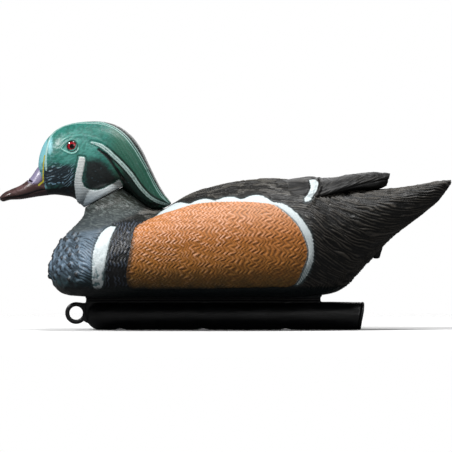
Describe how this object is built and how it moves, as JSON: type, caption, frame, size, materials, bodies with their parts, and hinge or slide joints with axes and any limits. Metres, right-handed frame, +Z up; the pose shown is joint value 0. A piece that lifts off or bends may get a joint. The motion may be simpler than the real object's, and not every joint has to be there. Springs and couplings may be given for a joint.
{
  "type": "duck decoy",
  "caption": "Hollow floating drake decoy with a swivelling crested head and a round weighted keel with a line ring.",
  "frame": {"origin": "under the middle of the overall length, on the centre plane, at the lowest line of the keel tube", "axes": "+X towards the tail (the bill points to -X), +Y towards the duck's right side, +Z up"},
  "size_m": [0.3606, 0.1376, 0.1668],
  "materials": {
    "body_paint": "hand-painted matt acrylic on moulded polyethylene",
    "head_paint": "hand-painted matt acrylic on moulded polyethylene",
    "eye_red": "glossy moulded eye, red with a black pupil",
    "keel_plastic": "black polyethylene as moulded, satin",
    "fitting_plastic": "natural acetal, machined smooth",
    "plug_rubber": "soft black rubber",
    "seal_rubber": "black rubber",
    "stainless": "stainless steel",
    "insert_brass": "turned brass",
    "ballast_fill": "dry sand and cement fill"
  },
  "bodies": {
    "body": {"body_shell": "body_paint", "tail_vent_plug": "plug_rubber", "neck_collar": "fitting_plastic", "keel_shell": "keel_plastic", "keel_ballast": "ballast_fill", "keel_end_plug": "keel_plastic", "keel_gasket": "seal_rubber", "keel_washers": "stainless", "keel_screws": "stainless", "keel_inserts": "insert_brass"},
    "head": {"head_shell": "head_paint", "left_eye": "eye_red", "right_eye": "eye_red", "neck_spigot": "fitting_plastic", "neck_o_ring": "seal_rubber", "neck_washer": "stainless", "neck_screw": "stainless"}
  },
  "joints": [
    {"name": "head_swivel", "type": "hinge", "parent": "body", "child": "head", "pos_m": [-0.09687, 0, 0.1062], "axis": [-0.4802, 0, 0.8771], "range_deg": [-15, 15]}
  ]
}
